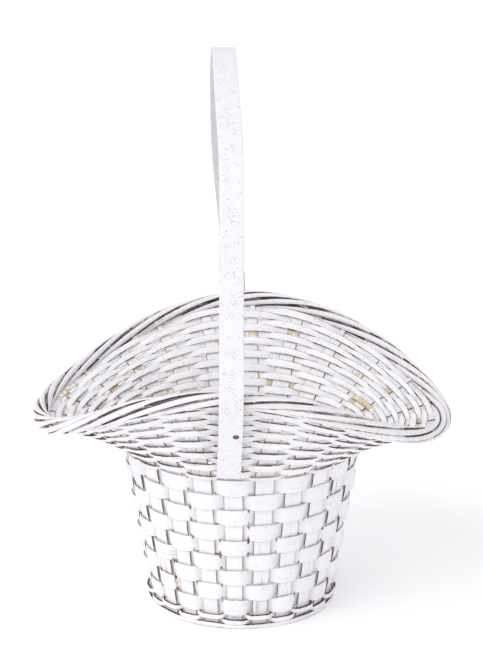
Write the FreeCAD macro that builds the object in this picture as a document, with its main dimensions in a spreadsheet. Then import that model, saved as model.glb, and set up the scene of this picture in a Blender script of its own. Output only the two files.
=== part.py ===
"""Flower girl basket: a tapered pail woven of flat chip bands over flat stakes, a saddle-shaped flared
brim woven of round rods over the same stakes, a six-rod wale at the rim and a nailed bent-wood handle.

Frame: millimetres, Z up, floor at Z = 0, the pail's axis on Z. The brim is long in X and short in Y, and
the handle spans from the front (-Y) to the back (+Y).
"""
import FreeCAD, Part
import math
import os

import Sketcher

V = FreeCAD.Vector

# name, size in mm or degrees, a plain count, or a formula of the sizes above it, what it is
DIMENSIONS = (
    ("base_radius", 47.4, "wall middle radius at the floor"),
    ("neck_radius", 63.8, "wall middle radius at the neck, where the brim begins"),
    ("neck_height", 91.5, "height of the neck"),
    ("brim_half_length", 107.0, "rim middle line from the axis to an end tip"),
    ("brim_half_depth", 93.5, "rim middle line from the axis to the front or back"),
    ("brim_rise_ends", 11.5, "rise from the neck to the rim at the end tips"),
    ("brim_rise_front", 53.0, "rise from the neck to the rim at the front"),
    ("brim_rise_back", 44.5, "rise from the neck to the rim at the back"),
    ("saddle_power", 2.5, "how the rise blends between the tips and the sides"),
    ("brim_bow_out", 0.40, "share of the brim's run at its bend point"),
    ("brim_bow_up", 0.62, "share of the brim's rise at its bend point"),
    ("neck_round", 3.0, "length over which a stake bends at the neck"),
    ("stake_count", 24, "stakes, an even number, one of them at the front"),
    ("stake_thick", 0.9, "stake thickness"),
    ("stake_width_foot", 7.6, "stake width at the floor"),
    ("stake_width_neck", 10.4, "stake width at the neck"),
    ("stake_width_brim", 6.0, "stake width in the outer brim"),
    ("stake_width_tip", 2.8, "width of the tongue held inside the rim"),
    ("stake_tip_length", 9.0, "length of that tongue"),
    ("stake_lift", 0.2, "stake ends above the floor"),
    ("band_count", 9, "chip bands in the wall"),
    ("band_thick", 0.8, "chip band thickness"),
    ("band_bow", 0.7, "how far a chip bows away from the stake it passes"),
    ("band_gap", 0.45, "gap between neighbouring bands"),
    ("band_top_gap", 2.2, "wall left bare between the top band and the neck"),
    ("foot_cane_diameter", 2.6, "foot canes"),
    ("foot_cane_pitch", 2.8, "spacing of the foot canes"),
    ("neck_cane_diameter", 2.0, "neck cane"),
    ("row_count", 13, "rods woven in the brim"),
    ("row_diameter", 2.7, "brim rod"),
    ("row_first", 2.8, "length from the neck to the first brim rod"),
    ("rod_clearance", 0.1, "clearance between woven pieces that touch"),
    ("strand_count", 6, "rods in the rim wale"),
    ("strand_diameter", 2.3, "wale rod"),
    ("strand_orbit", "=strand_diameter + stake_thick + 0.5", "radius of the wale rods' twist"),
    ("board_thick", 3.0, "base board"),
    ("board_edge", 0.6, "rounding of the base board's edges"),
    ("handle_width", 12.3, "handle band width"),
    ("handle_thick", 2.2, "handle band thickness"),
    ("handle_half_span", "=brim_half_depth + 8.5", "from the axis to the middle of an upright leg"),
    ("handle_foot_reach", "=neck_radius + 8.2", "from the axis to the middle of a leg's end"),
    ("handle_foot_height", "=neck_height + 4", "height of the leg ends"),
    ("handle_bend_front", "=neck_height + brim_rise_front", "height of the front leg's bend beside the rim"),
    ("handle_bend_back", "=neck_height + brim_rise_back - 1", "height of the back leg's bend beside the rim"),
    ("handle_bend_radius", 25.0, "radius of that bend"),
    ("handle_spring_height", "=neck_height + 105.5", "height where the top arch begins"),
    ("handle_edge", 0.5, "rounding of the handle's long edges"),
    ("handle_shift", 14.0, "the back foot's sideways offset from the front foot"),
    ("handle_lean", 2.5, "the top's sideways lean"),
    ("nail_height", "=neck_height + 32.5", "height of the nails on the handle legs"),
    ("nail_offset", 3.8, "from the leg's middle line to its nail"),
    ("nail_head_diameter", 3.6, "nail head"),
    ("nail_head_rise", 0.9, "nail head height"),
    ("nail_shank_diameter", 1.2, "nail shank"),
    ("nail_length", 11.5, "nail below its head"),
)

doc = FreeCAD.newDocument("flower_girl_basket")
sheet = doc.addObject("Spreadsheet::Sheet", "dims")
for line, (name, value, note) in enumerate(DIMENSIONS, start=1):
    sheet.set("A%d" % line, name)
    sheet.set("B%d" % line, str(value))
    sheet.set("C%d" % line, note)
    sheet.setAlias("B%d" % line, name)
doc.recompute()
D = {name: float(sheet.get(name)) for name, _, _ in DIMENSIONS}

STAKES = int(D["stake_count"])
FRONT = -math.pi / 2
LENGTH_STEPS = 40      # samples for a length along the brim
AROUND_STEP = 1e-4     # radians, for slopes around the basket
ALONG_STEP = 1e-2      # mm, for slopes up the wall
RING_POINTS = 8        # spline points per stake round a woven ring
ROD_SIDES = 8          # lengthwise faces of a rod
FLAT_SIDES = 2         # lengthwise faces on each side of a stake
STAKE_STEPS = (6, 6, 9, 6)  # spline spans of a stake: wall, neck bend, brim, tongue


# ---- the surface that the middle of the weave lies on ------------------------------------------------
def on_wall(angle, share):
    """A point on the straight wall: share -1 at the floor, 0 at the neck."""
    reach = D["neck_radius"] + (D["neck_radius"] - D["base_radius"]) * share
    return V(reach * math.cos(angle), reach * math.sin(angle), D["neck_height"] * (1 + share))


def rim(angle):
    """The rim's middle line."""
    side = D["brim_rise_front"] if math.sin(angle) < 0 else D["brim_rise_back"]
    share = abs(math.sin(angle)) ** D["saddle_power"]
    rise = D["brim_rise_ends"] + (side - D["brim_rise_ends"]) * share
    return V(
        D["brim_half_length"] * math.cos(angle),
        D["brim_half_depth"] * math.sin(angle),
        D["neck_height"] + rise,
    )


def curve_point(start, middle, end, share):
    """A point on the curve that leaves start towards middle and reaches end."""
    left = 1 - share
    return start * (left * left) + middle * (2 * left * share) + end * (share * share)


def on_brim(angle, share):
    """A point on the brim: share 0 at the neck, 1 at the rim."""
    neck, top = on_wall(angle, 0), rim(angle)
    run = top - neck
    out, up = D["brim_bow_out"], D["brim_bow_up"]
    return curve_point(neck, neck + V(run.x * out, run.y * out, run.z * up), top, share)


brim_tables = {}


def brim_lengths(angle):
    """Lengths along the brim at even shares, from the neck to the rim."""
    key = round(angle, 9)
    if key not in brim_tables:
        points = [on_brim(angle, i / LENGTH_STEPS) for i in range(LENGTH_STEPS + 1)]
        lengths = [0.0]
        for one, two in zip(points, points[1:]):
            lengths.append(lengths[-1] + one.distanceToPoint(two))
        brim_tables[key] = lengths
    return brim_tables[key]


def sharp_point(angle, along):
    """The weave's middle at a length along from the neck, negative down the wall, with a sharp neck."""
    if along <= 0:
        slant = math.hypot(D["neck_height"], D["neck_radius"] - D["base_radius"])
        return on_wall(angle, along / slant)
    lengths = brim_lengths(angle)
    for i in range(LENGTH_STEPS):
        if along <= lengths[i + 1] or i == LENGTH_STEPS - 1:
            part = (along - lengths[i]) / (lengths[i + 1] - lengths[i])
            return on_brim(angle, (i + part) / LENGTH_STEPS)


def point(angle, along):
    """The same, with the neck rounded."""
    reach = D["neck_round"]
    if abs(along) < reach:
        share = (along + reach) / (2 * reach)
        ends = sharp_point(angle, -reach), sharp_point(angle, reach)
        return curve_point(ends[0], on_wall(angle, 0), ends[1], share)
    return sharp_point(angle, along)


def directions(angle, along):
    """Unit vectors up the surface and out of it, and the width in mm of one radian around."""
    around = point(angle + AROUND_STEP, along) - point(angle - AROUND_STEP, along)
    up = point(angle, along + ALONG_STEP) - point(angle, along - ALONG_STEP)
    out = around.cross(up)
    return up.normalize(), out.normalize(), around.Length / (2 * AROUND_STEP)


def wall_along(height):
    """Length along the wall from the neck for a height above the floor."""
    slant = math.hypot(D["neck_height"], D["neck_radius"] - D["base_radius"])
    return (height / D["neck_height"] - 1) * slant


# ---- solids ------------------------------------------------------------------------------------------
def rail_pieces(points, marks, cuts, closed):
    """A spline through points, cut into shorter splines at some of its marks."""
    curve = Part.BSplineCurve()
    curve.interpolate(Points=points, Parameters=marks, PeriodicFlag=closed)
    pieces = []
    for low, high in zip(cuts, cuts[1:]):
        piece = curve.copy()
        piece.segment(low, high)
        pieces.append(piece)
    return pieces


def skin_faces(rails, marks, cuts, closed):
    """Faces between neighbouring rails, which are listed in order round the section."""
    pieces = [rail_pieces(rail, marks, cuts, closed) for rail in rails]
    return [
        one.makeRuledSurface(two).toShape()
        for i in range(len(pieces))
        for one, two in zip(pieces[i - 1], pieces[i])
    ]


def solid_from(faces, name):
    shell = Part.Shell(faces)
    shell.sewShape()
    solid = Part.Solid(shell)
    if solid.Volume < 0:
        solid.reverse()
    if not solid.isValid() or not solid.isClosed():
        raise RuntimeError("%s did not close" % name)
    return solid


def ring_solid(rails, name):
    """A closed ring skinned over lengthwise splines, in one sector for each stake."""
    count = len(rails[0])
    marks = [i / count for i in range(count + 1)]
    return solid_from(skin_faces(rails, marks, marks[:: count // STAKES], True), name)


def strip_solid(outer, inner, marks, cuts, name):
    """A strip with two ends, skinned over the splines of its outer and inner sides."""
    faces = skin_faces(outer + inner[::-1], marks, cuts, False)
    for end in (0, -1):
        for i in range(len(outer) - 1):
            one = Part.LineSegment(outer[i][end], outer[i + 1][end])
            two = Part.LineSegment(inner[i][end], inner[i + 1][end])
            faces.append(one.makeRuledSurface(two).toShape())
    return solid_from(faces, name)


def rod_solid(centres, sides, radius, name):
    """A round rod along a closed line; sides holds a vector across the rod at each point."""
    count = len(centres)
    rails = [[] for _ in range(ROD_SIDES)]
    for i, centre in enumerate(centres):
        run = (centres[(i + 1) % count] - centres[i - 1]).normalize()
        across = sides[i] - run * sides[i].dot(run)
        across.normalize()
        other = run.cross(across)
        for k, rail in enumerate(rails):
            turn = 2 * math.pi * (k + 0.5) / ROD_SIDES
            rail.append(centre + across * (radius * math.cos(turn)) + other * (radius * math.sin(turn)))
    return ring_solid(rails, name)


def ring_angles():
    count = STAKES * RING_POINTS
    return [FRONT + 2 * math.pi * i / count for i in range(count)]


def weave(angle, stake_half, grip):
    """1 over even stakes and -1 over odd ones, already at full reach at a stake's edge.

    stake_half is the angle from a stake's middle to its edge, and grip how square the wave is."""
    half_turns = STAKES / 2
    edge = math.tanh(grip * math.cos(half_turns * stake_half))
    return math.tanh(grip * math.cos(half_turns * (angle - FRONT))) / edge


WALL_GRIP = 2.4
BRIM_GRIP = 1.5


def stake_width(angle, along):
    """Stake width at a length along from the neck."""
    def blend(low, high, share):
        share = min(max(share, 0.0), 1.0)
        return low + (high - low) * share * share * (3 - 2 * share)

    if along <= 0:
        share = along / wall_along(0)
        return D["stake_width_neck"] + (D["stake_width_foot"] - D["stake_width_neck"]) * share
    tongue = brim_lengths(angle)[-1] - D["stake_tip_length"]
    if along <= tongue:
        return blend(D["stake_width_neck"], D["stake_width_brim"], along / tongue)
    share = (along - tongue) / (D["stake_tip_length"] / 3)
    return blend(D["stake_width_brim"], D["stake_width_tip"], share)


def over_under(angle, along, thick, parity, grip, bow=0.0):
    """A woven piece's distance out of the surface as it passes over and under the stakes."""
    width = directions(angle, along)[2]
    stake_half = stake_width(angle, along) / 2 / width
    reach = (D["stake_thick"] + thick) / 2 + D["rod_clearance"]
    bulge = bow * math.cos(STAKES / 2 * (angle - FRONT))
    return parity * (reach * weave(angle, stake_half, grip) + bulge)


def woven_rod(along_at, diameter, parity, grip, name):
    """A round rod woven round the basket; along_at gives its length from the neck at each angle."""
    centres, sides = [], []
    for angle in ring_angles():
        along = along_at(angle)
        out = directions(angle, along)[1]
        centres.append(point(angle, along) + out * over_under(angle, along, diameter, parity, grip))
        sides.append(out)
    return rod_solid(centres, sides, diameter / 2, name)


def band_solid(low, high, parity, name):
    """A chip band between two lengths from the neck."""
    rails = [[] for _ in range(4)]
    middle = (low + high) / 2
    for angle in ring_angles():
        out = directions(angle, middle)[1]
        shift = over_under(angle, middle, D["band_thick"], parity, WALL_GRIP, D["band_bow"])
        half = D["band_thick"] / 2
        for rail, along, depth in zip(rails, (low, high, high, low), (half, half, -half, -half)):
            rail.append(point(angle, along) + out * (shift + depth))
    return ring_solid(rails, name)


def stake_solid(angle, name):
    """A flat stake from the floor over the neck into the rim."""
    foot = wall_along(D["stake_lift"])
    top = brim_lengths(angle)[-1]
    reach = D["neck_round"]
    tongue = top - D["stake_tip_length"]
    cuts = (foot, -reach, reach, tongue, top)
    marks = [foot]
    for low, high, steps in zip(cuts, cuts[1:], STAKE_STEPS):
        marks += [low + (high - low) * i / steps for i in range(1, steps)] + [high]
    outer = [[] for _ in range(FLAT_SIDES + 1)]
    inner = [[] for _ in range(FLAT_SIDES + 1)]
    half = D["stake_thick"] / 2
    for along in marks:
        width = directions(angle, along)[2]
        for i in range(FLAT_SIDES + 1):
            place = angle + stake_width(angle, along) * (i / FLAT_SIDES - 0.5) / width
            out = directions(place, along)[1]
            middle = point(place, along)
            outer[i].append(middle + out * half)
            inner[i].append(middle - out * half)
    return strip_solid(outer, inner, marks, cuts, name)


def strand_solid(index, name):
    """One rod of the rim wale. Between two rods there is a gap at every stake for its tongue."""
    strands = int(D["strand_count"])
    turns = STAKES / strands
    centres, sides = [], []
    for angle in ring_angles():
        top = brim_lengths(angle)[-1]
        up, out, _ = directions(angle, top)
        turn = math.pi / strands + 2 * math.pi * index / strands + turns * (angle - FRONT)
        arm = up * -math.cos(turn) + out * math.sin(turn)
        centres.append(rim(angle) + arm * D["strand_orbit"])
        sides.append(arm)
    return rod_solid(centres, sides, D["strand_diameter"] / 2, name)


# ---- document objects ----------------------------------------------------------------------------------
nodes = []


def keep(obj, name):
    obj.Label = name
    nodes.append(obj)
    return obj


def add_shape(name, shape):
    obj = doc.addObject("Part::Feature", name)
    obj.Shape = shape
    return keep(obj, name)


def new_body(name):
    return doc.addObject("PartDesign::Body", name)


def plane(body, role):
    return next(f for f in body.Origin.OriginFeatures if f.Role == role)


def sketch_on(body, role, name):
    sketch = body.newObject("Sketcher::SketchObject", name)
    sketch.AttachmentSupport = (plane(body, role), [""])
    sketch.MapMode = "FlatFace"
    return sketch


def bind(obj, **links):
    for prop, expression in links.items():
        obj.setExpression(prop, expression)


def join_ends(sketch, first, last):
    """Coincident ends round a closed chain of edges."""
    chain = list(range(first, last + 1))
    for one, two in zip(chain, chain[1:] + chain[:1]):
        a, b = sketch.Geometry[one], sketch.Geometry[two]
        ends = [(i, j, p.distanceToPoint(q)) for i, p in ((1, a.StartPoint), (2, a.EndPoint))
                for j, q in ((1, b.StartPoint), (2, b.EndPoint))]
        i, j, _ = min(ends, key=lambda item: item[2])
        sketch.addConstraint(Sketcher.Constraint("Coincident", one, i, two, j))


# base board
inner_reach = D["base_radius"] - D["stake_thick"] / 2 - D["foot_cane_diameter"] - 2 * D["rod_clearance"]
board = new_body("base_board")
disc = sketch_on(board, "XY_Plane", "board_outline")
disc.addGeometry(Part.Circle(V(0, 0, 0), V(0, 0, 1), inner_reach), False)
disc.addConstraint(Sketcher.Constraint("Coincident", 0, 3, -1, 1))
radius_mark = disc.addConstraint(Sketcher.Constraint("Radius", 0, inner_reach))
disc.setExpression(
    "Constraints[%d]" % radius_mark,
    "dims.base_radius - dims.stake_thick / 2 - dims.foot_cane_diameter - 2 * dims.rod_clearance",
)
slab = board.newObject("PartDesign::Pad", "board_slab")
slab.Profile = disc
bind(slab, Length="dims.board_thick")
doc.recompute()
rounded = board.newObject("PartDesign::Fillet", "board_edges")
rounded.Base = (slab, ["Edge%d" % (i + 1) for i, e in enumerate(slab.Shape.Edges)
                       if len(e.Vertexes) == 1 and e.Length > D["base_radius"]])
bind(rounded, Radius="dims.board_edge")
keep(board, "base_board")

# stakes
for i in range(STAKES):
    name = "stake_%02d" % (i + 1)
    add_shape(name, stake_solid(FRONT + 2 * math.pi * i / STAKES, name))

# foot canes: a plain hoop outside the stakes at the floor, and two woven ones above it
cane = D["foot_cane_diameter"]
hoop = doc.addObject("Part::Torus", "foot_cane_1")
bind(
    hoop,
    Radius1="dims.base_radius + dims.stake_thick + dims.rod_clearance + dims.foot_cane_diameter / 2",
    Radius2="dims.foot_cane_diameter / 2",
)
hoop.setExpression("Placement.Base.z", "dims.foot_cane_diameter / 2 + dims.rod_clearance")
keep(hoop, "foot_cane_1")
for i in (2, 3):
    name = "foot_cane_%d" % i
    level = wall_along(cane / 2 + D["rod_clearance"] + D["foot_cane_pitch"] * (i - 1))
    parity = -1 if i % 2 else 1
    add_shape(name, woven_rod(lambda angle: level, cane, parity, WALL_GRIP, name))

# chip bands
bands = int(D["band_count"])
floor_level = wall_along(cane + 2 * D["rod_clearance"] + D["foot_cane_pitch"] * 2 + D["band_gap"])
pitch = (-D["band_top_gap"] - floor_level + D["band_gap"]) / bands
for i in range(bands):
    name = "band_%02d" % (i + 1)
    low = floor_level + pitch * i
    parity = 1 if i % 2 == 0 else -1
    add_shape(name, band_solid(low, low + pitch - D["band_gap"], parity, name))

# neck cane, opposite the top band
parity = -1 if bands % 2 else 1
neck = D["neck_cane_diameter"]
add_shape("neck_cane", woven_rod(lambda angle: 0.0, neck, parity, WALL_GRIP, "neck_cane"))

# brim rods, from the neck to the rim
rows = int(D["row_count"])
rim_reach = D["strand_orbit"] + (D["strand_diameter"] + D["row_diameter"]) / 2 + 2 * D["rod_clearance"]
for i in range(rows):
    name = "brim_row_%02d" % (i + 1)

    def along_at(angle, share=i / (rows - 1)):
        last = brim_lengths(angle)[-1] - rim_reach
        return D["row_first"] + (last - D["row_first"]) * share

    row_parity = -parity if i % 2 == 0 else parity
    add_shape(name, woven_rod(along_at, D["row_diameter"], row_parity, BRIM_GRIP, name))

# rim wale
for i in range(int(D["strand_count"])):
    name = "rim_strand_%d" % (i + 1)
    add_shape(name, strand_solid(i, name))


# handle: its side outline padded across its width
def leg_points(offset, bend_height):
    """A leg's corners at an offset outwards from its middle line, as (y, z) on the +Y side."""
    foot = V(D["handle_foot_reach"], D["handle_foot_height"], 0)
    bend = V(D["handle_half_span"], bend_height, 0)
    run = (bend - foot).normalize()
    out = V(run.y, -run.x, 0)
    turn = math.pi / 2 - math.atan2(run.y, run.x)
    tangent = D["handle_bend_radius"] * math.tan(turn / 2)
    centre = bend - run * tangent - out * D["handle_bend_radius"]
    radius = D["handle_bend_radius"] + offset
    start = math.atan2(out.y, out.x)
    return foot + out * offset, centre, radius, start, run, out


def mirrored(p):
    return V(-p.x, p.y, 0)


def handle_chain(offset):
    """Edges from the -Y foot over the arch to the +Y foot at an offset from the middle line."""
    front_foot, front_centre, radius, front_start, _, _ = leg_points(offset, D["handle_bend_front"])
    foot, centre, radius, start, _, _ = leg_points(offset, D["handle_bend_back"])
    front_lower = front_centre + V(math.cos(front_start), math.sin(front_start), 0) * radius
    lower = centre + V(math.cos(start), math.sin(start), 0) * radius
    spring = V(D["handle_half_span"] + offset, D["handle_spring_height"], 0)
    side = V(radius, 0, 0)
    up = V(0, 0, 1)
    return [
        Part.LineSegment(mirrored(front_foot), mirrored(front_lower)),
        Part.ArcOfCircle(Part.Circle(mirrored(front_centre), up, radius), math.pi, math.pi - front_start),
        Part.LineSegment(mirrored(front_centre + side), mirrored(spring)),
        Part.ArcOfCircle(Part.Circle(V(0, spring.y, 0), up, spring.x), 0, math.pi),
        Part.LineSegment(spring, centre + side),
        Part.ArcOfCircle(Part.Circle(centre, up, radius), start, 0),
        Part.LineSegment(lower, foot),
    ]


half_thick = D["handle_thick"] / 2
outer_chain, inner_chain = handle_chain(half_thick), handle_chain(-half_thick)
outline = outer_chain + [Part.LineSegment(outer_chain[-1].EndPoint, inner_chain[-1].EndPoint)]
outline += inner_chain[::-1] + [Part.LineSegment(inner_chain[0].StartPoint, outer_chain[0].StartPoint)]
handle = new_body("handle")
side = sketch_on(handle, "YZ_Plane", "handle_outline")
side.addGeometry(outline, False)
join_ends(side, 0, len(outline) - 1)
for index, sign in ((3, "+"), (11, "-")):
    mark = side.addConstraint(Sketcher.Constraint("Radius", index, side.Geometry[index].Radius))
    side.setExpression(
        "Constraints[%d]" % mark, "dims.handle_half_span %s dims.handle_thick / 2" % sign
    )
strap = handle.newObject("PartDesign::Pad", "handle_band")
strap.Profile = side
strap.Midplane = True
bind(strap, Length="dims.handle_width")
doc.recompute()
soft = handle.newObject("PartDesign::Fillet", "handle_edges")
edge_side = D["handle_width"] / 2
soft.Base = (strap, ["Edge%d" % (i + 1) for i, e in enumerate(strap.Shape.Edges)
                     if all(abs(abs(v.X) - edge_side) < 1e-6 for v in e.Vertexes)
                     and e.Length > 2 * D["handle_thick"]])
bind(soft, Radius="dims.handle_edge")
keep(handle, "handle")

# the handle stands a little askew: its back foot is off to one side, and its top leans
pivot = D["handle_bend_front"]
yaw = math.degrees(math.asin(D["handle_shift"] / 2 / D["handle_half_span"]))
lean = math.degrees(math.atan(D["handle_lean"] / (D["handle_spring_height"] + D["handle_half_span"] - pivot)))
turned = FreeCAD.Rotation(V(0, 0, 1), yaw).multiply(FreeCAD.Rotation(V(0, 1, 0), -lean))
handle.Placement = FreeCAD.Placement(V(-D["handle_shift"] / 2, 0, pivot), turned).multiply(
    FreeCAD.Placement(V(0, 0, -pivot), FreeCAD.Rotation())
)


# nails
def nail_body(name, place):
    body = new_body(name)
    sketch = sketch_on(body, "XZ_Plane", name + "_section")
    head, rise = D["nail_head_diameter"] / 2, D["nail_head_rise"]
    shank, length = D["nail_shank_diameter"] / 2, D["nail_length"]
    corners = [V(0, -length, 0), V(shank, -length + 2 * shank, 0), V(shank, 0, 0), V(head, 0, 0),
               V(head, rise / 3, 0), V(head / 2, rise, 0), V(0, rise, 0)]
    for one, two in zip(corners, corners[1:] + corners[:1]):
        sketch.addGeometry(Part.LineSegment(one, two), False)
    join_ends(sketch, 0, len(corners) - 1)
    turned_piece = body.newObject("PartDesign::Revolution", name + "_turned")
    turned_piece.Profile = sketch
    turned_piece.ReferenceAxis = (sketch, ["V_Axis"])
    turned_piece.Angle = 360
    body.Placement = place
    return body


nails = []
for name, way, bend_height in (
    ("nail_front", -1, D["handle_bend_front"]),
    ("nail_back", 1, D["handle_bend_back"]),
):
    foot, _, _, _, run, out = leg_points(half_thick, bend_height)
    seat = foot + run * ((D["nail_height"] - foot.y) / run.y)
    local = FreeCAD.Placement(
        V(D["nail_offset"], way * seat.x, seat.y), FreeCAD.Rotation(V(0, 0, 1), V(0, way * out.x, out.y))
    )
    nails.append(nail_body(name, handle.Placement.multiply(local)))
pair = doc.addObject("Part::Compound", "handle_nails")
pair.Links = nails
keep(pair, "handle_nails")

doc.recompute()
for obj in doc.Objects:
    if "Invalid" in obj.State or "Error" in obj.State:
        raise RuntimeError("%s: %s" % (obj.Label, obj.State))
os.makedirs("parts", exist_ok=True)
for obj in nodes:
    if obj.Shape.isNull() or not obj.Shape.isValid() or not obj.Shape.Solids:
        raise RuntimeError("%s has no valid solid" % obj.Label)
    obj.Shape.exportStep("parts/%s.step" % obj.Label)
print("%d nodes written" % len(nodes))
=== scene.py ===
"""Looks of the flower girl basket.

The stakes, chips, canes, rim rods and handle are swept meshes with their own seeded unevenness, under worn
white paint. Each stands for the CAD node of the same place. The nails and the base board are the CAD's own
pieces with better materials.
"""
import math

import bpy
import numpy as np
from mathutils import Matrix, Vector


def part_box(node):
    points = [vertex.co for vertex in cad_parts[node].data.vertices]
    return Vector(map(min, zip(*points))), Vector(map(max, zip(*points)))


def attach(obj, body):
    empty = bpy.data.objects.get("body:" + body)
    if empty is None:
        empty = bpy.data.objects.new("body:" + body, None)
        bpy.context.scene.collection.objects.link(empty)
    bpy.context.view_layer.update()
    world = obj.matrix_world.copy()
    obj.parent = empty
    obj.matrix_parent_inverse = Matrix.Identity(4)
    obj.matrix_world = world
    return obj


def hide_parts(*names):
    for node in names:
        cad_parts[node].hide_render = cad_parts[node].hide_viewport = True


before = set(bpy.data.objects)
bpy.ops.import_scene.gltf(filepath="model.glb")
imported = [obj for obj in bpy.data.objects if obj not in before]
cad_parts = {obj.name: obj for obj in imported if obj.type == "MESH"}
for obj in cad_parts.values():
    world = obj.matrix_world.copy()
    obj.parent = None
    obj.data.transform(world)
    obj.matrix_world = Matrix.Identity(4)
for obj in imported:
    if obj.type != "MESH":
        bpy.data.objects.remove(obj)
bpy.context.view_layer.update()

MM = 0.001
STAKES = sum(name.startswith("stake_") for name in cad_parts)
BANDS = sum(name.startswith("band_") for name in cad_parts)
ROWS = sum(name.startswith("brim_row_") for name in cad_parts)
FRONT = -math.pi / 2
TURN = 2 * math.pi


def alternate(number):
    """1 for an even number and -1 for an odd one."""
    return -1 if number % 2 else 1


def low(node):
    return np.array(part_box(node)[0])


def high(node):
    return np.array(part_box(node)[1])


# sizes of the weave, in metres; stakes and brim rods are thinner than the CAD's, and the rim's rods thicker
stake_thick = 0.6 * MM
stake_width_foot = 7.6 * MM
stake_width_neck = 10.4 * MM
stake_width_brim = 6.0 * MM
stake_width_tip = 2.8 * MM
stake_tip_length = 9.0 * MM
band_thick = 0.65 * MM
band_bow = 0.6 * MM
row_thick = 1.15 * MM
foot_cane = 2.6 * MM
neck_cane = 2.0 * MM
strand_size = 2.9 * MM
strand_orbit = 3.3 * MM
clearance = 0.1 * MM
neck_round = 3.0 * MM
row_first = 2.8 * MM
rim_reach = 6.3 * MM
saddle_power = 2.5
brim_bow_out, brim_bow_up = 0.40, 0.62
handle_width = 12.3 * MM
handle_thick = 2.2 * MM
handle_half_span = 102.0 * MM
handle_foot_reach = 72.0 * MM
handle_bend_front, handle_bend_back = 144.5 * MM, 135.0 * MM
handle_bend_radius = 25.0 * MM
handle_spring = high("handle")[2] - handle_half_span - handle_thick / 2

# the basket's main sizes, from the frame; the thinner stakes make both radii up to 0.3 mm larger
base_radius = high("foot_cane_1")[0] - foot_cane - stake_thick - clearance
neck_radius = high("neck_cane")[0] - neck_cane - stake_thick / 2 - clearance
neck_height = (high("neck_cane")[2] + low("neck_cane")[2]) / 2
brim_half_length = high("stake_07")[0]
brim_half_depth = high("stake_13")[1]
rim_front, rim_back, rim_ends = high("stake_01")[2], high("stake_13")[2], high("stake_07")[2]


# ---- the surface that the middle of the weave lies on ------------------------------------------------
def wall_point(angle, share):
    """On the wall's cone: share is 0 at the neck and -1 at the floor."""
    reach = neck_radius + (neck_radius - base_radius) * share
    return np.stack([reach * np.cos(angle), reach * np.sin(angle), neck_height * (1 + share)], -1)


def rim_point(angle):
    """The rim's middle: high at the front and back, low at the ends."""
    side = np.where(np.sin(angle) < 0, rim_front, rim_back)
    share = np.abs(np.sin(angle)) ** saddle_power
    height = rim_ends + (side - rim_ends) * share
    return np.stack([brim_half_length * np.cos(angle), brim_half_depth * np.sin(angle), height], -1)


def bent(start, middle, end, share):
    """A bend from start to end, pulled towards middle."""
    share = np.asarray(share)[..., None]
    return start * (1 - share) ** 2 + middle * 2 * share * (1 - share) + end * share**2


def brim_point(angle, share):
    neck, top = wall_point(angle, 0 * angle), rim_point(angle)
    bow = np.array([brim_bow_out, brim_bow_out, brim_bow_up])
    return bent(neck, neck + (top - neck) * bow, top, share)


def brim_lengths(angle, steps=40):
    """Lengths along the brim from the neck, at even shares of its bend."""
    points = np.stack([brim_point(angle, 0 * angle + i / steps) for i in range(steps + 1)], 1)
    parts = np.linalg.norm(np.diff(points, axis=1), axis=-1)
    return np.concatenate([0 * parts[:, :1], np.cumsum(parts, axis=1)], axis=1)


def brim_length(angle):
    return brim_lengths(angle)[:, -1]


def sharp_point(angle, along):
    """The weave's middle at a length along from the neck, negative down the wall."""
    slant = math.hypot(neck_height, neck_radius - base_radius)
    lengths = brim_lengths(angle)
    steps = lengths.shape[1] - 1
    place = np.clip((lengths < along[:, None]).sum(1) - 1, 0, steps - 1)
    rows = np.arange(len(angle))
    start, end = lengths[rows, place], lengths[rows, place + 1]
    share = (place + (along - start) / (end - start)) / steps
    below = (along <= 0)[:, None]
    return np.where(below, wall_point(angle, along / slant), brim_point(angle, share))


def surface(angle, along):
    """The same, with the neck rounded."""
    angle, along = np.broadcast_arrays(np.asarray(angle, float), np.asarray(along, float))
    shape = angle.shape
    angle, along = angle.ravel(), along.ravel()
    plain = sharp_point(angle, along)
    before = sharp_point(angle, 0 * along - neck_round)
    after = sharp_point(angle, 0 * along + neck_round)
    turned = bent(before, wall_point(angle, 0 * angle), after, (along + neck_round) / (2 * neck_round))
    return np.where((np.abs(along) < neck_round)[:, None], turned, plain).reshape(shape + (3,))


def unit(v):
    return v / np.maximum(np.linalg.norm(v, axis=-1, keepdims=True), 1e-12)


def directions(angle, along):
    """Unit vectors up the surface and out of it, and the width in metres of one radian around."""
    step, rise = 1e-4, 1e-5
    around = surface(angle + step, along) - surface(angle - step, along)
    up = surface(angle, along + rise) - surface(angle, along - rise)
    return unit(up), unit(np.cross(around, up)), np.linalg.norm(around, axis=-1) / (2 * step)


def wall_along(height):
    """The length along the wall from the neck, negative downwards, at a height."""
    return (height / neck_height - 1) * math.hypot(neck_height, neck_radius - base_radius)


# ---- hand-made unevenness ----------------------------------------------------------------------------
def smooth(low_edge, high_edge, value):
    """0 below the low edge and 1 above the high one, smooth between."""
    share = np.clip((value - low_edge) / (high_edge - low_edge), 0, 1)
    return share * share * (3 - 2 * share)


RIPPLE_FADE, RIPPLE_SPREAD = 0.7, 1.8


def ripple(angle, seed, size, waves=9):
    """A slow seeded wander around the basket."""
    rng = np.random.default_rng(seed)
    total = 0 * angle
    for n in range(1, waves + 1):
        total = total + rng.normal() * np.cos(n * angle + rng.uniform(0, TURN)) / n**RIPPLE_FADE
    return size * total / RIPPLE_SPREAD


def per_stake(angle, seed, size):
    """A seeded value for each stake, smoothly blended between stakes."""
    values = np.random.default_rng(seed).normal(size=STAKES) * size
    place = (angle - FRONT) / TURN * STAKES
    first = np.floor(place).astype(int)
    share = smooth(0, 1, place - first)
    return values[first % STAKES] * (1 - share) + values[(first + 1) % STAKES] * share


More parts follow.
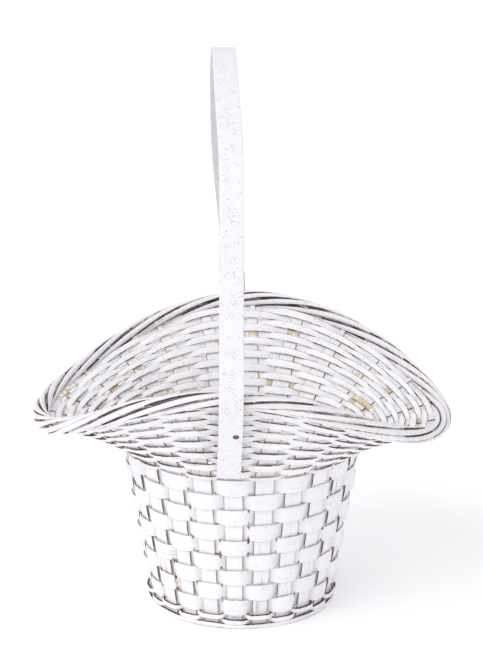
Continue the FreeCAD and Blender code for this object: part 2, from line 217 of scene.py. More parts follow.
def each_pass(angle, seed):
    """A seeded number from 0 to 1, even over each stake's pass."""
    values = np.random.default_rng(seed).uniform(size=STAKES)
    return values[np.round((angle - FRONT) / TURN * STAKES).astype(int) % STAKES]


# ---- meshes ------------------------------------------------------------------------------------------
def build_mesh(name, grid, lengths, widths, values, closed, material, nodes):
    """A swept piece: grid holds its sections as rings of points; values holds the paint's attributes."""
    count, sides = grid.shape[:2]
    verts = grid.reshape(-1, 3)
    last = count if closed else count - 1
    i, j = np.meshgrid(np.arange(last), np.arange(sides), indexing="ij")
    i2, j2 = (i + 1) % count, (j + 1) % sides
    quads = np.stack([i * sides + j, i * sides + j2, i2 * sides + j2, i2 * sides + j], -1).reshape(-1, 4)
    total = float(lengths[-1] + (lengths[-1] - lengths[-2]))
    ends = np.where(i2 < i, total, lengths[i2])
    across = np.append(widths, widths[-1] + (widths[-1] - widths[-2]))
    u = np.stack([lengths[i], lengths[i], ends, ends], -1).reshape(-1)
    v = np.stack([across[j], across[j + 1], across[j + 1], across[j]], -1).reshape(-1)
    faces = [tuple(q) for q in quads.tolist()]
    uv = np.stack([u, v], -1)
    if not closed:
        caps = [tuple(range(sides))[::-1], tuple((count - 1) * sides + k for k in range(sides))]
        cap_uv = [[lengths[0], across[k]] for k in range(sides)][::-1]
        cap_uv += [[lengths[-1], across[k]] for k in range(sides)]
        faces += caps
        uv = np.concatenate([uv, cap_uv])
    mesh = bpy.data.meshes.new(name)
    mesh.from_pydata(verts.tolist(), [], faces)
    mesh.uv_layers.new(name="grain").data.foreach_set("uv", uv.ravel())
    for key, value in values.items():
        layer = mesh.attributes.new(key, "FLOAT", "POINT")
        layer.data.foreach_set("value", np.broadcast_to(value, (count, sides)).astype(float).ravel())
    mesh.polygons.foreach_set("use_smooth", [True] * len(mesh.polygons))
    mesh.materials.append(material)
    mesh.update()
    piece = bpy.data.objects.new(name, mesh)
    bpy.context.scene.collection.objects.link(piece)
    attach(piece, "root")
    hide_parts(*nodes)
    return piece


def run_lengths(points):
    """The length along a line of points, from its first."""
    return np.concatenate([[0], np.cumsum(np.linalg.norm(np.diff(points, axis=0), axis=1))])


def section(sides, power):
    """A rounded section's unit outline, from an oval at power 1 to nearly a rectangle at 0.3."""
    turn = TURN * (np.arange(sides) + 0.5) / sides
    c, s = np.cos(turn), np.sin(turn)
    return np.sign(c) * np.abs(c) ** power, np.sign(s) * np.abs(s) ** power


def stake_width(angle, along):
    """Widest at the neck, narrower to the floor and the rim, with a tongue at the top."""
    foot = wall_along(0)
    wall = stake_width_neck + (stake_width_foot - stake_width_neck) * along / foot
    tongue = brim_length(angle.ravel()).reshape(angle.shape) - stake_tip_length
    outer = stake_width_neck + (stake_width_brim - stake_width_neck) * smooth(0, tongue, along)
    narrowed = smooth(0, stake_tip_length / 3, along - tongue)
    tip = stake_width_brim + (stake_width_tip - stake_width_brim) * narrowed
    return np.where(along <= 0, wall, np.where(along <= tongue, outer, tip))


def weave(angle, along, grip):
    """1 over even stakes and -1 over odd ones, already at full reach at a stake's edge."""
    width = directions(angle, along)[2]
    edge = np.tanh(grip * np.cos(STAKES / 2 * stake_width(angle, along) / 2 / width))
    return np.tanh(grip * np.cos(STAKES / 2 * (angle - FRONT))) / edge


WALL_GRIP, BRIM_GRIP = 2.4, 1.5
ROD_AROUND, BAND_AROUND, RIM_AROUND = 22, 22, 26  # sections for each stake
ROD_SIDES, CHIP_SIDES, STAKE_SIDES, RIM_SIDES, HANDLE_SIDES = 16, 24, 18, 16, 40
CHIP_POWER, STAKE_POWER, RIM_POWER, HANDLE_POWER = 0.42, 0.36, 0.92, 0.22

# hand-made unevenness
ROD_RISE, ROD_WANDER, ROD_DEPTH = 0.14 * MM, 0.10 * MM, 0.08 * MM
ROD_SWELL, ROD_WIDTH = 0.08, 0.04
CHIP_LEAN, LEAN_SPREAD, BOW_SPREAD = 0.035, 0.8, 0.25
CHIP_RISE, CHIP_WIDTH, CHIP_CROWN = 0.16 * MM, 0.02, 0.22 * MM
CHIP_NARROW, CHIP_CREST = 0.95, 0.10
STAKE_PUSH, STAKE_PUSH_TOP = 0.22 * MM, -1.5 * MM
STAKE_RAW_WAVE, STAKE_RAW_FROM = 310, 0.86  # radians in a metre, and the wave's height where paint is missing
RIM_WANDER, RIM_ORBIT, RIM_THICKNESS = 0.16, 0.06, 0.05
RIM_ARM, RIM_SIDE = 0.92, 1.02  # a rim rod's thickness along and across its arm


def ring(steps):
    """Angles round the basket from the front, with so many for each stake."""
    return FRONT + TURN * np.arange(STAKES * steps) / (STAKES * steps)


def woven_rod(
    name, along, thick, half_width, parity, grip, seed, material, nodes, flat=0.9, gap=0.8, raw_from=1.0
):
    """A cane woven round the basket, a little uneven in width, height and depth.

    flat is its section's power, gap how dark its flanks are (painted shade, partly unpainted wood), and
    raw_from the draw above which a pass is unpainted inside.
    """
    angle = ring(ROD_AROUND)
    along = along(angle) + per_stake(angle, seed, ROD_RISE) + ripple(angle, seed + 1, ROD_WANDER)
    out = directions(angle, along)[1]
    wave = weave(angle, along, grip)
    reach = (stake_thick + thick) / 2 + clearance
    depth = parity * reach * wave + per_stake(angle, seed + 2, ROD_DEPTH)
    centre = surface(angle, along) + out * depth[:, None]
    run = unit(np.roll(centre, -1, 0) - np.roll(centre, 1, 0))
    out = unit(out - run * (out * run).sum(1, keepdims=True))
    side = np.cross(run, out)
    outward, sideways = section(ROD_SIDES, flat)
    swell = 1 + ROD_SWELL * (np.abs(wave) - 0.5)
    wide = half_width(angle) * swell * (1 + per_stake(angle, seed + 3, ROD_WIDTH))
    grid = (
        centre[:, None]
        + out[:, None] * (outward * thick / 2)[None, :, None]
        + side[:, None] * (sideways[None, :] * wide[:, None])[..., None]
    )
    # painted shade: the flanks darken where canes meet their neighbours, partly unpainted wood, and some
    # passes get near-black spots where a cane dives behind a stake, for the shade in that gap
    crossing = smooth(0.40, 0.85, 1 - np.abs(wave))[:, None]
    flank = smooth(0.78, 0.97, np.abs(sideways))[None]
    dived = smooth(0.70, 0.97, np.abs(sideways))[None] * (each_pass(angle, seed + 6) > 0.45)[:, None]
    values = {
        "unpainted_and_shaded": np.maximum(gap * flank, crossing * dived),
        "raw": (each_pass(angle, seed + 4) > raw_from)[:, None] * (outward < 0)[None],
        "tone": each_pass(angle, seed + 5)[:, None],
        "wear_and_shade": 0.12 * smooth(0.5, 0.9, np.abs(sideways))[None],
    }
    widths = np.arange(ROD_SIDES) * thick * 0.25 + seed
    build_mesh(name, grid, run_lengths(centre), widths, values, True, material, nodes)


def chip_band(name, low_edge, high_edge, parity, seed, material):
    """A flat chip woven round the wall.

    It is widest over each stake, bows away from it and sits a little askew.
    """
    angle = ring(BAND_AROUND)
    lean = CHIP_LEAN * (1 + per_stake(angle, seed, LEAN_SPREAD))
    middle = (low_edge + high_edge) / 2 + per_stake(angle, seed + 1, CHIP_RISE)
    out = directions(angle, middle)[1]
    wave = weave(angle, middle, WALL_GRIP)
    reach = (stake_thick + band_thick) / 2 + clearance
    over = np.cos(STAKES / 2 * (angle - FRONT))
    bulge = band_bow * (1 + per_stake(angle, seed + 2, BOW_SPREAD)) * over
    depth = parity * (reach * wave + bulge)
    half = (high_edge - low_edge) / 2 * (1 + per_stake(angle, seed + 3, CHIP_WIDTH))
    half = half * (CHIP_NARROW + CHIP_CREST * np.abs(over))
    outward, downward = section(CHIP_SIDES, CHIP_POWER)
    upward = -downward
    crown = CHIP_CROWN * (1 - upward**2)
    place = middle[:, None] + upward[None] * half[:, None]
    flat = surface(np.repeat(angle[:, None], CHIP_SIDES, 1), place)
    swell = crown[None] * np.sign(depth)[:, None] * np.abs(wave)[:, None]
    rise = depth[:, None] + outward[None] * band_thick / 2 + swell
    rise = rise - (lean * np.sign(depth) * np.abs(wave))[:, None] * upward[None] * half[:, None]
    grid = flat + out[:, None] * rise[..., None]
    # painted shade: each chip's lower edge gets a darker line than its upper one, partly unpainted edge, and
    # some crossings get dark spots for the shaded inside seen through the gap
    crossing = smooth(0.35, 0.9, 1 - np.abs(wave))[:, None]
    slot = (each_pass(angle + math.pi / STAKES, seed + 7) > 0.62)[:, None]
    edge_line = smooth(0.955, 0.995, np.abs(upward)) * np.where(upward < 0, 0.85, 0.5)
    between = crossing * (0.30 + 0.6 * slot) * smooth(0.2, 0.9, np.abs(upward))[None]
    values = {
        "unpainted_and_shaded": np.maximum(edge_line[None], between),
        "raw": (each_pass(angle, seed + 4) > 0.985)[:, None] * (outward < 0)[None],
        "tone": each_pass(angle, seed + 5)[:, None],
        "wear_and_shade": smooth(0.80, 0.96, np.abs(upward))[None] * 0.55,
    }
    widths = upward * (high_edge - low_edge) / 2 + seed * 0.01
    build_mesh(
        name, grid, run_lengths(flat[:, 0]), widths, values, True, material,
        [name.replace("chip_", "")],
    )


def stake(name, angle, seed, bands, material, node):
    """A split-wood stake from the floor, over the neck, into the rim."""
    foot = wall_along(low(node)[2] + 0.1 * MM)
    top = brim_length(np.array([angle]))[0]
    along = np.concatenate([
        np.linspace(foot, -neck_round, 90)[:-1],
        np.linspace(-neck_round, neck_round, 12)[:-1],
        np.linspace(neck_round, top, 60),
    ])
    outward, sideways = section(STAKE_SIDES, STAKE_POWER)
    width = stake_width(0 * along + angle, along)
    per_radian = directions(0 * along + angle, along)[2]
    place = angle + sideways[None] * (width / 2 / per_radian)[:, None]
    level = np.repeat(along[:, None], STAKE_SIDES, 1)
    flat = surface(place, level)
    out = directions(place, level)[1]
    bottom, pitch, parity = bands
    push = np.where((along > bottom) & (along < STAKE_PUSH_TOP), STAKE_PUSH, 0.0)
    push = push * parity * np.cos(math.pi * ((along - bottom) / pitch - 0.5))
    grid = flat + out * (outward[None, :, None] * stake_thick / 2 - push[:, None, None])
    raw_along = (np.sin(along * STAKE_RAW_WAVE + seed) > STAKE_RAW_FROM) & (along > 0)
    values = {
        # painted shade along the stake's edges where the chips cross it, partly unpainted wood
        "unpainted_and_shaded": smooth(0.90, 0.99, np.abs(sideways))[None],
        "raw": (outward < 0)[None] & raw_along[:, None],
        "tone": np.random.default_rng(seed).uniform(),
        "wear_and_shade": 0.25 * smooth(0.6, 0.9, np.abs(sideways))[None],
    }
    widths = sideways * stake_width_neck / 2 + seed * 0.013
    build_mesh(name, grid, along - along[0], widths, values, False, material, [node])


def rim_strand(name, index, strands, turns, seed, material, nodes):
    """One rod of the rim's loose twist."""
    angle = ring(RIM_AROUND)
    up, out = directions(angle, brim_length(angle))[:2]
    turn = TURN * index / strands + turns * (angle - FRONT) + ripple(angle, seed, RIM_WANDER, 5)
    orbit = strand_orbit * (1 + per_stake(angle, seed + 1, RIM_ORBIT))
    arm = -up * np.cos(turn)[:, None] + out * np.sin(turn)[:, None]
    centre = rim_point(angle) + arm * orbit[:, None]
    run = unit(np.roll(centre, -1, 0) - np.roll(centre, 1, 0))
    arm = unit(arm - run * (arm * run).sum(1, keepdims=True))
    side = np.cross(run, arm)
    outward, sideways = section(RIM_SIDES, RIM_POWER)
    radius = strand_size * (1 + ripple(angle, seed + 2, RIM_THICKNESS, 14)) / 2
    grid = (
        centre[:, None]
        + arm[:, None] * (outward[None] * radius[:, None] * RIM_ARM)[..., None]
        + side[:, None] * (sideways[None] * radius[:, None] * RIM_SIDE)[..., None]
    )
    # painted shade: darker flanks and inner side where the rim rods press together, partly unpainted wood
    thin = 0.45 + 0.5 * smooth(0.35, 0.65, each_pass(angle, seed + 6))
    values = {
        "unpainted_and_shaded": smooth(0.82, 0.99, np.maximum(np.abs(sideways), -outward))[None] * thin[:, None],
        "raw": (each_pass(angle, seed + 4) > 0.95)[:, None] * (sideways > 0.5)[None],
        "tone": each_pass(angle, seed + 5)[:, None],
        "wear_and_shade": 0.3,
    }
    widths = np.arange(RIM_SIDES) * 0.7 * MM + seed
    build_mesh(name, grid, run_lengths(centre), widths, values, True, material, nodes)


# ---- materials ---------------------------------------------------------------------------------------
class Nodes:
    """Short calls for making a material's node tree."""

    def __init__(self, name):
        self.material = bpy.data.materials.new(name)
        self.material.use_nodes = True
        self.tree = self.material.node_tree
        self.shader = self.tree.nodes["Principled BSDF"]

    def node(self, kind, inputs=(), **props):
        made = self.tree.nodes.new(kind)
        for key, value in props.items():
            setattr(made, key, value)
        for key, value in dict(inputs).items():
            self.put(value, made.inputs[key])
        return made

    def put(self, value, socket):
        if isinstance(value, bpy.types.NodeSocket):
            self.tree.links.new(value, socket)
        else:
            socket.default_value = value

    def maths(self, operation, a, b=0.0, c=0.0):
        made = self.node("ShaderNodeMath", {0: a, 1: b, 2: c}, operation=operation)
        return made.outputs[0]

    def mix(self, share, a, b):
        made = self.node("ShaderNodeMix", data_type="RGBA")
        self.put(share, made.inputs[0])
        self.put(a, made.inputs[6])
        self.put(b, made.inputs[7])
        return made.outputs[2]

    def span(self, value, low_edge, high_edge, start=0.0, end=1.0):
        made = self.node(
            "ShaderNodeMapRange", {0: value, 1: low_edge, 2: high_edge, 3: start, 4: end},
            interpolation_type="SMOOTHSTEP",
        )
        return made.outputs[0]

    def noise(self, vector, scale, detail=3.0, roughness=0.55):
        made = self.node(
            "ShaderNodeTexNoise",
            {"Vector": vector, "Scale": scale, "Detail": detail, "Roughness": roughness},
        )
        return made.outputs[0]

    def stretched(self, vector, x, y, z=1.0):
        made = self.node("ShaderNodeMapping", {"Vector": vector})
        made.inputs["Scale"].default_value = (x, y, z)
        return made.outputs[0]

    def attribute(self, name):
        return self.node("ShaderNodeAttribute", attribute_name=name).outputs["Fac"]


PAINT = (0.925, 0.922, 0.93, 1)
PAINT_COOL = (0.86, 0.86, 0.92, 1)
# DARK, PLUM and LAVENDER tint the crevices and gaps between pieces: painted shade, partly unpainted wood
DARK = (0.075, 0.036, 0.050, 1)
PLUM = (0.24, 0.13, 0.15, 1)
RAW = (0.80, 0.66, 0.47, 1)
LAVENDER = (0.60, 0.58, 0.68, 1)
GREY_BROWN = (0.36, 0.28, 0.24, 1)
RAW_DARK = (0.62, 0.48, 0.33, 1)
# this grey gives each pass a random duller tone, and is painted shade on the handle's inner face
GREY_TONE_AND_SHADE = (0.50, 0.46, 0.46, 1)
STREAK_WARM, STREAK_COOL = (0.60, 0.52, 0.44, 1), (0.52, 0.48, 0.56, 1)
SPECK, SPECK_RED = (0.16, 0.09, 0.09, 1), (0.42, 0.17, 0.15, 1)
RIM_WHITE, HANDLE_WHITE = (0.865, 0.86, 0.875, 1), (0.85, 0.855, 0.885, 1)
RUST_DARK, RUST_BRIGHT, STEEL = (0.10, 0.045, 0.03, 1), (0.36, 0.15, 0.06, 1), (0.55, 0.50, 0.46, 1)
FLOOR_GREY, FLOOR_WHITE, FLOOR_GLOW = (0.93, 0.93, 0.935, 1), (0.95, 0.95, 0.955, 1), 0.16
SPECKS_EACH_METRE = 1250.0


def paint(name, streaks=0.5, specks=0.3, cool=0.3, roughness=0.5, inner=0.09, white=PAINT):
    """White paint on wood: fine grain, thin spots, raw patches, and painted shade in the crevices and gaps,
    partly unpainted wood.

    streaks, specks and cool are how strongly each shows; inner is how much the tone value greys it: a random
    tone for each pass, and painted shade on the handle's inner face.
    """
    n = Nodes(name)
    grain_at = n.node("ShaderNodeUVMap", uv_map="grain").outputs[0]
    here = n.node("ShaderNodeTexCoord").outputs["Object"]
    fine = n.noise(n.stretched(grain_at, 60, 2600), 1.0, 4.0, 0.6)
    coarse = n.noise(n.stretched(grain_at, 25, 900), 1.0, 3.0)
    blotch = n.noise(here, 90, 3.0)
    ragged = n.noise(here, 900, 4.0, 0.65)
    wide = n.noise(here, 260, 2.0)
    patchy = n.noise(here, 38, 2.0)

    grain = n.maths("ADD", n.maths("MULTIPLY", fine, 0.5), n.maths("MULTIPLY", coarse, 0.5))
    streak = n.span(grain, 0.53, 0.66)
    colour = n.mix(n.span(blotch, 0.35, 0.7, 0.0, cool), white, PAINT_COOL)
    # greyed by the tone value: a random tone for each pass, and painted shade on the handle's inner face
    colour = n.mix(n.maths("MULTIPLY", n.attribute("tone"), inner), colour, GREY_TONE_AND_SHADE)
    streaked = n.maths("MULTIPLY", streak, n.span(patchy, 0.40, 0.60, streaks * 0.12, streaks * 0.60))
    colour = n.mix(streaked, colour, n.mix(n.span(wide, 0.4, 0.6), STREAK_WARM, STREAK_COOL))

    raw = n.maths("MULTIPLY", n.attribute("raw"), n.span(wide, 0.36, 0.5))
    colour = n.mix(raw, colour, n.mix(n.span(fine, 0.3, 0.7), RAW, RAW_DARK))

    # rubbed edges show raw or grey-brown wood; on the handle's inner face the same mix is painted shade
    edge = n.maths("ADD", n.attribute("wear_and_shade"), n.maths("MULTIPLY", n.maths("SUBTRACT", ragged, 0.5), 1.3))
    edge_colour = n.mix(n.span(wide, 0.42, 0.58), RAW, GREY_BROWN)
    colour = n.mix(n.span(edge, 0.72, 0.95, 0.0, 0.7), colour, edge_colour)

    # painted shade, partly unpainted wood: crevices between pieces turn lavender grey, plum or tan, and the
    # deepest gaps near black
    unpainted_and_shaded = n.maths("ADD", n.attribute("unpainted_and_shaded"), n.maths("MULTIPLY", n.maths("SUBTRACT", patchy, 0.5), 1.1))
    unpainted_and_shaded = n.maths("ADD", unpainted_and_shaded, n.maths("MULTIPLY", n.maths("SUBTRACT", wide, 0.5), 0.7))
    unpainted_and_shaded = n.maths("ADD", unpainted_and_shaded, n.maths("MULTIPLY", n.maths("SUBTRACT", ragged, 0.5), 0.5))
    crevice_wood_and_shade = n.mix(n.span(ragged, 0.4, 0.6), RAW, PLUM)
    groove = n.mix(n.span(n.noise(here, 120, 2.0), 0.40, 0.55), LAVENDER, crevice_wood_and_shade)
    colour = n.mix(n.span(unpainted_and_shaded, 0.34, 0.52, 0.0, 0.9), colour, groove)
    colour = n.mix(n.span(unpainted_and_shaded, 0.62, 0.84), colour, DARK)

    cells = n.node("ShaderNodeTexVoronoi", {"Vector": here, "Scale": SPECKS_EACH_METRE}, feature="F1")
    gate = n.span(n.noise(here, 210, 3.0, 0.7), 0.62 - 0.14 * specks, 0.68 - 0.10 * specks)
    dots = n.maths("MULTIPLY", n.span(cells.outputs["Distance"], 0.32, 0.20), gate)
    dot_colour = n.mix(n.span(wide, 0.45, 0.55), SPECK, SPECK_RED)
    colour = n.mix(n.maths("MULTIPLY", dots, 0.45 + 0.4 * specks), colour, dot_colour)

    n.put(colour, n.shader.inputs["Base Color"])
    n.put(n.span(wide, 0.3, 0.7, roughness - 0.08, roughness + 0.14), n.shader.inputs["Roughness"])
    n.shader.inputs["Specular IOR Level"].default_value = 0.35
    height = n.maths("ADD", grain, n.maths("MULTIPLY", n.noise(here, 420, 3.0), 0.5))
    bump = n.node("ShaderNodeBump", {"Height": height, "Strength": 0.4, "Distance": 0.0004})
    n.put(bump.outputs[0], n.shader.inputs["Normal"])
    return n.material


def rust(name):
    """Rusty steel, with a few brighter scratches."""
    n = Nodes(name)
    here = n.node("ShaderNodeTexCoord").outputs["Object"]
    patch = n.noise(here, 900, 5.0, 0.7)
    colour = n.mix(n.span(patch, 0.38, 0.62), RUST_DARK, RUST_BRIGHT)
    colour = n.mix(n.span(n.noise(here, 1700, 3.0), 0.60, 0.72), colour, STEEL)
    n.put(colour, n.shader.inputs["Base Color"])
    n.put(n.span(patch, 0.3, 0.7, 0.55, 0.9), n.shader.inputs["Roughness"])
    n.shader.inputs["Metallic"].default_value = 0.35
    bump = n.node("ShaderNodeBump", {"Height": patch, "Strength": 0.6, "Distance": 0.0003})
    n.put(bump.outputs[0], n.shader.inputs["Normal"])
    return n.material


def floor_paper(name):
    """Plain pale paper that glows a little, so that the ground reads as white."""
    n = Nodes(name)
    here = n.node("ShaderNodeTexCoord").outputs["Object"]
    colour = n.mix(n.noise(here, 30, 2.0), FLOOR_GREY, FLOOR_WHITE)
    n.put(colour, n.shader.inputs["Base Color"])
    n.shader.inputs["Roughness"].default_value = 0.9
    n.shader.inputs["Emission Color"].default_value = (1, 1, 1, 1)
    n.shader.inputs["Emission Strength"].default_value = FLOOR_GLOW
    return n.material


chip_paint = paint("painted_chip", streaks=1.0, specks=0.55, cool=0.15)
stake_paint = paint("painted_stake", streaks=1.5, specks=0.2, cool=0.15)
cane_paint = paint("painted_cane", streaks=0.8, specks=0.7, cool=0.35)
rim_paint = paint("painted_rim", streaks=0.9, specks=0.7, cool=0.4, white=RIM_WHITE)
handle_paint = paint(
    "painted_handle", streaks=0.2, specks=1.0, cool=0.6, roughness=0.42, inner=0.45, white=HANDLE_WHITE
)
board_paint = paint("base_wood", streaks=1.2, specks=0.4, cool=0.2, roughness=0.6)
nail_rust = rust("rusty_nail")


# ---- the woven pieces --------------------------------------------------------------------------------
band_bottom = wall_along(low("band_01")[2])
band_top = wall_along(high("band_%02d" % BANDS)[2])
band_gap = 0.30 * MM
band_pitch = (band_top - band_bottom + band_gap) / BANDS
for i in range(BANDS):
    start = band_bottom + band_pitch * i
    end = start + band_pitch - band_gap
    chip_band("chip_band_%02d" % (i + 1), start, end, alternate(i), 100 + 10 * i, chip_paint)

for i in range(STAKES):
    stake(
        "split_stake_%02d" % (i + 1), FRONT + TURN * i / STAKES, 400 + i,
        (band_bottom, band_pitch, alternate(i)), stake_paint, "stake_%02d" % (i + 1),
    )


def constant(value):
    """The same value at every angle."""
    return lambda angle: 0 * angle + value


FOOT_GAP = 1.05  # how dark the foot canes' flanks are: painted shade between the canes, partly unpainted wood
for i in (1, 2, 3):
    node = "foot_cane_%d" % i
    level = wall_along((low(node)[2] + high(node)[2]) / 2)
    if i == 1:
        # a plain hoop: it isn't woven, and is moved out past the stakes
        woven_rod(
            "cane_" + node, constant(level), foot_cane, constant(foot_cane / 2), 0, WALL_GRIP, 500,
            cane_paint, [node], gap=FOOT_GAP,
        )
        hoop = bpy.data.objects["cane_" + node]
        outside = (stake_thick + foot_cane) / 2 + clearance
        verts = np.array([v.co for v in hoop.data.vertices])
        out = unit(verts * [1, 1, 0])
        hoop.data.vertices.foreach_set("co", (verts + out * outside).ravel())
    else:
        woven_rod(
            "cane_" + node, constant(level), foot_cane, constant(foot_cane * 0.53),
            alternate(i), WALL_GRIP, 500 + 10 * i, cane_paint, [node], gap=FOOT_GAP,
        )

woven_rod(
    "cane_neck", constant(0.0), neck_cane, constant(neck_cane / 2), alternate(BANDS), WALL_GRIP, 560,
    cane_paint, ["neck_cane"],
)


ROW_WIDTH = 0.54  # half a rod's width, as a share of the pitch: just over half, so that rods close up
RAW_ROWS = (1, 3, 4)  # the rows near the neck with the most unpainted passes


def row_along(share):
    """How far along the brim a rod lies, at a share of the way from the neck to the rim."""
    return lambda angle: row_first + (brim_length(angle) - rim_reach - row_first) * share


def row_half_width(angle):
    return (brim_length(angle) - rim_reach - row_first) / (ROWS - 1) * ROW_WIDTH


for i in range(ROWS):
    woven_rod(
        "cane_row_%02d" % (i + 1), row_along(i / (ROWS - 1)), row_thick, row_half_width,
        alternate(i), BRIM_GRIP, 600 + 10 * i, cane_paint, ["brim_row_%02d" % (i + 1)],
        flat=0.62, gap=0.8, raw_from=0.88 if i in RAW_ROWS else 0.99,
    )

RIM_RODS = sum(name.startswith("rim_strand_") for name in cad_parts)
RIM_TURNS = 4
for i in range(RIM_RODS):
    rim_strand(
        "rim_rod_%d" % (i + 1), i + 0.5, RIM_RODS, RIM_TURNS, 800 + 10 * i, rim_paint,
        ["rim_strand_%d" % (i + 1)],
    )


# ---- handle, nails and board -------------------------------------------------------------------------
HANDLE_SKEW = 17.8 * MM  # how far the back leg stands to the left of the front one
FRONT_FOOT = 1.3 * MM  # how far the front leg's foot stands to the left
BACK_FOOT = 7.0 * MM  # how far the back leg's foot stands to the right, against the rest of that leg
SKEW_EASE = 0.35  # the part of the skew that comes on smoothly, and not evenly
HANDLE_STEPS, HANDLE_SMOOTHING = 420, 9


def leg(height_of_bend):
    """Half of the handle's middle line, as (reach, height): its foot, the bend by the rim, and the top."""
    foot = np.array([handle_foot_reach, low("handle")[2]])
    bend = np.array([handle_half_span, height_of_bend])
    run = unit(bend - foot)
    turn = math.acos(run[1])
    tangent = handle_bend_radius * math.tan(turn / 2)
    centre = bend + [-handle_bend_radius, tangent]
    swept = -turn + turn * np.linspace(0, 1, 10)
    bow = centre + handle_bend_radius * np.stack([np.cos(swept), np.sin(swept)], -1)
    arch = np.linspace(0, math.pi / 2, 60)
    over = np.stack([handle_half_span * np.cos(arch), handle_spring + handle_half_span * np.sin(arch)], -1)
    straight = np.linspace(foot, bow[0], 30)[:-1]
    upright = np.linspace(bow[-1], over[0], 30)[1:-1]
    return np.concatenate([straight, bow, upright, over])


def handle_strap():
    """The bent-wood handle. Its back leg leans to one side, so its hoop is a little twisted."""
    front, back = leg(handle_bend_front), leg(handle_bend_back)
    reach = np.concatenate([-front[:, 0], back[-2::-1, 0]])
    height = np.concatenate([front[:, 1], back[-2::-1, 1]])
    eased = smooth(-handle_half_span, handle_half_span, reach) * SKEW_EASE
    back_side = eased + (1 - SKEW_EASE) * (reach / handle_half_span + 1) / 2
    side = np.where(
        reach < 0,
        -FRONT_FOOT * (1 - smooth(0.095, 0.16, height)) * (reach < -0.07) - HANDLE_SKEW * back_side,
        -HANDLE_SKEW * back_side + BACK_FOOT * (1 - smooth(0.13, 0.24, height)) * smooth(0.05, 0.09, reach),
    )
    side = side + HANDLE_SKEW * back_side[0] * (reach < 0) * smooth(-0.03, -0.09, reach)
    middle = np.stack([side, reach, height], -1)
    lengths = run_lengths(middle)
    even = np.linspace(0, lengths[-1], HANDLE_STEPS)
    middle = np.stack([np.interp(even, lengths, middle[:, k]) for k in range(3)], -1)
    kernel = np.ones(HANDLE_SMOOTHING) / HANDLE_SMOOTHING
    pad = HANDLE_SMOOTHING - 1
    before, after = 2 * middle[:1] - middle[pad:0:-1], 2 * middle[-1:] - middle[-2 : -2 - pad : -1]
    padded = np.concatenate([before, middle, after])
    middle = np.stack([np.convolve(padded[:, k], kernel, "same") for k in range(3)], -1)[pad:-pad]
    run = unit(np.gradient(middle, axis=0))
    yaw = math.asin(HANDLE_SKEW / 2 / handle_half_span)
    across = np.broadcast_to([math.cos(yaw), math.sin(yaw), 0.0], run.shape)
    across = unit(across - run * (across * run).sum(1, keepdims=True))
    out = np.cross(across, run)
    outward, sideways = section(HANDLE_SIDES, HANDLE_POWER)
    wobble = 1 + 0.012 * np.sin(even * 37) + 0.008 * np.sin(even * 91 + 1)
    grid = (
        middle[:, None]
        + across[:, None] * (sideways[None] * (handle_width / 2 * wobble)[:, None])[..., None]
        + out[:, None] * (outward * handle_thick / 2)[None, :, None]
    )
    # painted shade: the handle's inner face is greyed through its tone and wear values
    inner = 1.0 * (outward < -0.6)[None]
    values = {
        "unpainted_and_shaded": (smooth(0.965, 0.995, np.abs(sideways)) * np.where(sideways > 0, 0.62, 0.5))[None],
        "raw": 0.0,
        "tone": inner,
        "wear_and_shade": 0.25 * inner + 0.45 * smooth(0.93, 0.98, np.abs(sideways))[None],
    }
    widths = sideways * handle_width / 2
    build_mesh("handle_strap", grid, even, widths, values, False, handle_paint, ["handle"])


handle_strap()
for node, material in (("handle_nails", nail_rust), ("base_board", board_paint)):
    bpy.data.objects[node].data.materials.clear()
    bpy.data.objects[node].data.materials.append(material)


# ---- floor, light and camera -------------------------------------------------------------------------
SKY_LIGHT, SKY_SEEN, SKY_COLOUR = 0.82, 1.0, (0.98, 0.97, 1, 1)
KEY_PLACE, KEY_STRENGTH, KEY_SOFTNESS = (-1.0, -0.9, 1.25), 1.10, 50
FLOOR_HALF = 6.0
CAMERA_AZIMUTH, CAMERA_PITCH = math.radians(3.9), math.radians(18.865)
CAMERA_DISTANCE, CAMERA_HEIGHT = 1.520, 0.6696
CAMERA_LENS, CAMERA_SENSOR = 166.1, 36
CAMERA_NEAR, CAMERA_FAR = 0.05, 30


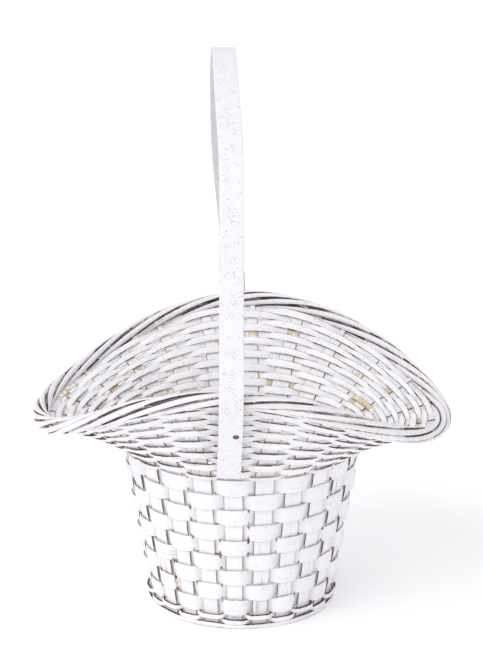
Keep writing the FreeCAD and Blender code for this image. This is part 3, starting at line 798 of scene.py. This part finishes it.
def add_floor():
    mesh = bpy.data.meshes.new("floor")
    half = FLOOR_HALF
    corners = [(-half, -half, 0), (half, -half, 0), (half, half, 0), (-half, half, 0)]
    mesh.from_pydata(corners, [], [(0, 1, 2, 3)])
    mesh.materials.append(floor_paper("floor_paper"))
    floor = bpy.data.objects.new("floor", mesh)
    bpy.context.scene.collection.objects.link(floor)


def add_sun(name, place, strength, softness):
    """A large soft light, shining from the direction of place."""
    light = bpy.data.lights.new(name, "SUN")
    light.energy = strength
    light.angle = math.radians(softness)
    lamp = bpy.data.objects.new(name, light)
    bpy.context.scene.collection.objects.link(lamp)
    lamp.location = place
    flat = math.hypot(place[0], place[1])
    lamp.rotation_euler = (math.atan2(flat, place[2]), 0, math.atan2(place[1], place[0]) + math.pi / 2)


def add_light():
    """A white studio with a large soft key high on the left.

    The camera sees the surround as brighter than it lights the basket, so that the background reads as white.
    """
    world = bpy.data.worlds.new("world")
    bpy.context.scene.world = world
    world.use_nodes = True
    tree = world.node_tree
    path = tree.nodes.new("ShaderNodeLightPath")
    strength = tree.nodes.new("ShaderNodeMapRange")
    strength.inputs["To Min"].default_value = SKY_LIGHT
    strength.inputs["To Max"].default_value = SKY_SEEN
    tree.links.new(path.outputs["Is Camera Ray"], strength.inputs["Value"])
    tree.links.new(strength.outputs["Result"], tree.nodes["Background"].inputs["Strength"])
    tree.nodes["Background"].inputs["Color"].default_value = SKY_COLOUR
    add_sun("key", KEY_PLACE, KEY_STRENGTH, KEY_SOFTNESS)


def add_camera():
    """The viewing angle: a little right of the front, looking down on the rim from across a room."""
    camera = bpy.data.cameras.new("camera")
    camera.sensor_fit = "AUTO"
    camera.sensor_width = CAMERA_SENSOR
    camera.lens = CAMERA_LENS
    camera.clip_start = CAMERA_NEAR
    camera.clip_end = CAMERA_FAR
    eye = bpy.data.objects.new("camera", camera)
    bpy.context.scene.collection.objects.link(eye)
    across, away = math.sin(CAMERA_AZIMUTH), math.cos(CAMERA_AZIMUTH)
    eye.location = (CAMERA_DISTANCE * across, -CAMERA_DISTANCE * away, CAMERA_HEIGHT)
    eye.rotation_euler = (math.pi / 2 - CAMERA_PITCH, 0, CAMERA_AZIMUTH)
    bpy.context.scene.camera = eye


add_floor()
add_light()
add_camera()
bpy.context.scene.view_settings.view_transform = "Standard"
